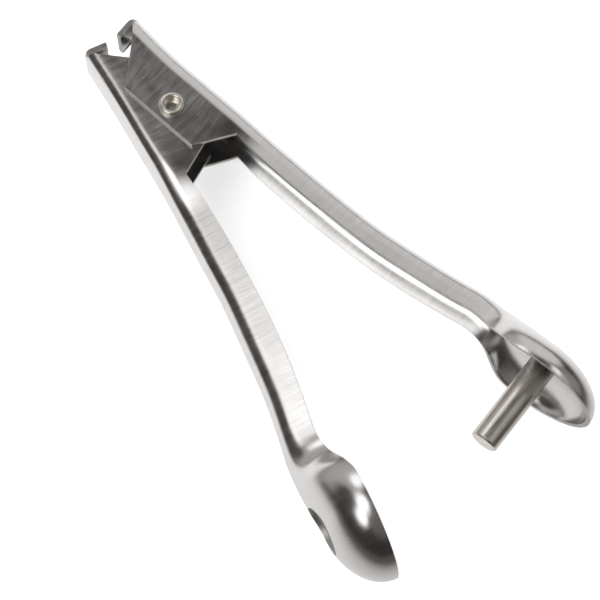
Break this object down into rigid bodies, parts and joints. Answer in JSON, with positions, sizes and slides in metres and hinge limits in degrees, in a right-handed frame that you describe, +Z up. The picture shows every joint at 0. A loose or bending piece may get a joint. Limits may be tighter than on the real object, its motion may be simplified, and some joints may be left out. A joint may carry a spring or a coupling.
{
  "type": "cherry pitter",
  "caption": "Hand lever tool of two pressed steel channel arms hinged on a rivet, with a cup and a pin that pushes the stone out of a cherry.",
  "frame": {"origin": "middle of the tool's underside as it lies on its side on a flat surface, on the rims of cup and dish and the rivet's domed head", "axes": "+X from the pivot towards the cup and dish, along the middle line between the arms; +Y towards the arm that carries the pin; +Z up, 3.85 degrees off the pivot's axis"},
  "size_m": [0.1484, 0.0726, 0.0341],
  "materials": {
    "pin_arm_plate": "bright plated sheet steel with fine brushing along the arm and handling scratches",
    "cup_arm_plate": "bright plated sheet steel with fine brushing along the arm and handling scratches",
    "pin_steel": "turned steel, dull plated, scratched along its length",
    "rivet_steel": "warm bright plated, rolled end",
    "washer_steel": "bright plated",
    "sleeve_steel": "drawn tube",
    "spring_steel": "hard drawn spring wire"
  },
  "bodies": {
    "pin_lever": {"pin_arm": "pin_arm_plate", "plunger_pin": "pin_steel", "pivot_rivet": "rivet_steel", "rivet_washer": "washer_steel", "pivot_sleeve": "sleeve_steel", "return_spring": "spring_steel"},
    "cup_lever": {"cup_arm": "cup_arm_plate"}
  },
  "joints": [
    {"name": "pivot", "type": "hinge", "parent": "pin_lever", "child": "cup_lever", "pos_m": [-0.04784, 0.00085, 0.01005], "axis": [-0.0671, 0, 0.9977], "range_deg": [-6.5, 26], "stiffness_Nm_per_rad": 0.8, "deforming": ["return_spring"]}
  ]
}
